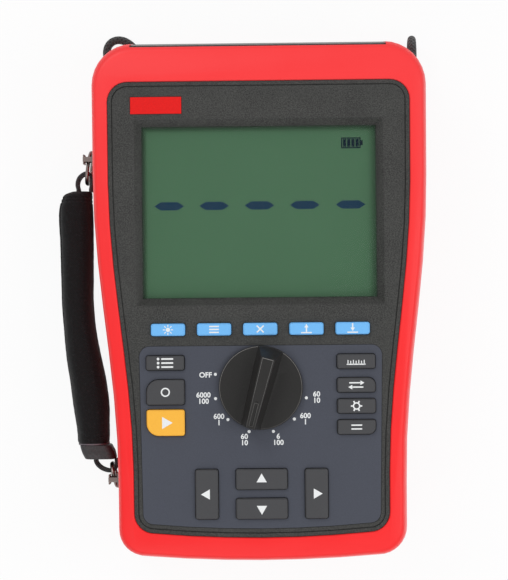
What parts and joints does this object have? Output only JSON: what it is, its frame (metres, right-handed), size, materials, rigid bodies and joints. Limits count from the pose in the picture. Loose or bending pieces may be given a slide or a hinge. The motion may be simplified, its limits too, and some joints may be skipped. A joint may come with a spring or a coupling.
{
  "type": "micro ohmmeter",
  "caption": "Handheld digital micro ohmmeter with a large display, keypad, rotary range knob, rubber guard, end sockets, tilt stand and a padded hand strap.",
  "frame": {"origin": "on the surface that the meter lies on, under the middle of the case", "axes": "+X to the right of someone who reads the display, +Y towards the terminal end, +Z out of the front"},
  "size_m": [0.1839, 0.2643, 0.0711],
  "materials": {
    "red_rubber": "satin overmoulded rubber",
    "dark_casing": "fine texture",
    "overlay_film": "matt film",
    "badge_red": "plain plate",
    "clear_window": "clear acrylic",
    "display_green": "reflective display",
    "backlight_white": "diffuser",
    "contact_rubber": "striped contact strip",
    "board_green": "solder mask",
    "black_plastic": "moulded",
    "zinc_steel": "zinc plated",
    "mat_rubber": "silicone",
    "knob_plastic": "moulded",
    "rotor_plastic": "moulded",
    "contact_brass": "plated",
    "sink_aluminium": "extruded",
    "pack_wrap": "shrink wrap",
    "foot_rubber": "matt",
    "panel_grey": "moulded",
    "strap_steel": "nickel plated",
    "strap_webbing": "woven",
    "strap_fabric": "padded knit",
    "strap_leather": "grained",
    "cord_braid": "braided",
    "key_dark": "moulded",
    "key_blue": "moulded",
    "key_yellow": "moulded"
  },
  "bodies": {
    "case": {"front_guard": "red_rubber", "rear_guard": "red_rubber", "front_casing": "dark_casing", "rear_casing": "dark_casing", "battery_cover": "dark_casing", "panel_overlay": "overlay_film", "badge_plate": "badge_red", "display_window": "clear_window", "lcd_frame": "black_plastic", "lcd_glass": "display_green", "lcd_backlight": "backlight_white", "lcd_connector": "contact_rubber", "main_board": "board_green", "board_parts": "black_plastic", "board_screws": "zinc_steel", "keypad_mat": "mat_rubber", "power_board": "board_green", "power_parts": "black_plastic", "heat_sink": "sink_aluminium", "battery_pack": "pack_wrap", "battery_cover_screws": "zinc_steel", "case_screws": "zinc_steel", "rear_feet": "foot_rubber", "stand_pins": "zinc_steel", "terminal_panel": "panel_grey", "terminal_sleeves": "contact_brass", "terminal_collars": "black_plastic", "data_port": "zinc_steel", "charge_jack": "black_plastic", "strap_lugs": "strap_steel", "cord_loop_left": "cord_braid", "cord_loop_right": "cord_braid"},
    "knob": {"range_knob": "knob_plastic", "switch_rotor": "rotor_plastic", "rotor_contacts": "contact_brass", "shaft_clip": "zinc_steel"},
    "stand": {"tilt_stand": "dark_casing"},
    "strap": {"strap_rings": "strap_steel", "strap_webbing": "strap_webbing", "strap_pad": "strap_fabric", "strap_end": "strap_leather"},
    "key_backlight": {"key_backlight": "key_blue"},
    "key_data": {"key_data": "key_blue"},
    "key_clear": {"key_clear": "key_blue"},
    "key_read": {"key_read": "key_blue"},
    "key_save": {"key_save": "key_blue"},
    "key_index": {"key_index": "key_dark"},
    "key_zero": {"key_zero": "key_dark"},
    "key_start": {"key_start": "key_yellow"},
    "key_length": {"key_length": "key_dark"},
    "key_mode": {"key_mode": "key_dark"},
    "key_setup": {"key_setup": "key_dark"},
    "key_compare": {"key_compare": "key_dark"},
    "key_left": {"key_left": "key_dark"},
    "key_right": {"key_right": "key_dark"},
    "key_up": {"key_up": "key_dark"},
    "key_down": {"key_down": "key_dark"}
  },
  "joints": [
    {"name": "key_backlight_press", "type": "slide", "parent": "case", "child": "key_backlight", "axis": [0, 0, -1], "range_m": [0, 0.001], "stiffness_N_per_m": 500},
    {"name": "key_data_press", "type": "slide", "parent": "case", "child": "key_data", "axis": [0, 0, -1], "range_m": [0, 0.001], "stiffness_N_per_m": 500},
    {"name": "key_clear_press", "type": "slide", "parent": "case", "child": "key_clear", "axis": [0, 0, -1], "range_m": [0, 0.001], "stiffness_N_per_m": 500},
    {"name": "key_read_press", "type": "slide", "parent": "case", "child": "key_read", "axis": [0, 0, -1], "range_m": [0, 0.001], "stiffness_N_per_m": 500},
    {"name": "key_save_press", "type": "slide", "parent": "case", "child": "key_save", "axis": [0, 0, -1], "range_m": [0, 0.001], "stiffness_N_per_m": 500},
    {"name": "key_index_press", "type": "slide", "parent": "case", "child": "key_index", "axis": [0, 0, -1], "range_m": [0, 0.001], "stiffness_N_per_m": 500},
    {"name": "key_zero_press", "type": "slide", "parent": "case", "child": "key_zero", "axis": [0, 0, -1], "range_m": [0, 0.001], "stiffness_N_per_m": 500},
    {"name": "key_start_press", "type": "slide", "parent": "case", "child": "key_start", "axis": [0, 0, -1], "range_m": [0, 0.001], "stiffness_N_per_m": 500},
    {"name": "key_length_press", "type": "slide", "parent": "case", "child": "key_length", "axis": [0, 0, -1], "range_m": [0, 0.001], "stiffness_N_per_m": 500},
    {"name": "key_mode_press", "type": "slide", "parent": "case", "child": "key_mode", "axis": [0, 0, -1], "range_m": [0, 0.001], "stiffness_N_per_m": 500},
    {"name": "key_setup_press", "type": "slide", "parent": "case", "child": "key_setup", "axis": [0, 0, -1], "range_m": [0, 0.001], "stiffness_N_per_m": 500},
    {"name": "key_compare_press", "type": "slide", "parent": "case", "child": "key_compare", "axis": [0, 0, -1], "range_m": [0, 0.001], "stiffness_N_per_m": 500},
    {"name": "key_left_press", "type": "slide", "parent": "case", "child": "key_left", "axis": [0, 0, -1], "range_m": [0, 0.001], "stiffness_N_per_m": 500},
    {"name": "key_right_press", "type": "slide", "parent": "case", "child": "key_right", "axis": [0, 0, -1], "range_m": [0, 0.001], "stiffness_N_per_m": 500},
    {"name": "key_up_press", "type": "slide", "parent": "case", "child": "key_up", "axis": [0, 0, -1], "range_m": [0, 0.001], "stiffness_N_per_m": 500},
    {"name": "key_down_press", "type": "slide", "parent": "case", "child": "key_down", "axis": [0, 0, -1], "range_m": [0, 0.001], "stiffness_N_per_m": 500},
    {"name": "knob_turn", "type": "hinge", "parent": "case", "child": "knob", "pos_m": [0, -0.04205, 0.057], "axis": [0, 0, 1], "range_deg": [-90, 90]},
    {"name": "stand_tilt", "type": "hinge", "parent": "case", "child": "stand", "pos_m": [0, 0.06605, 0.0047], "axis": [1, 0, 0], "range_deg": [0, 60]},
    {"name": "strap_swing", "type": "hinge", "parent": "case", "child": "strap", "pos_m": [-0.07349, -0.0878, 0.028], "axis": [-0.0712, 0.9975, 0], "range_deg": [0, 25]}
  ]
}
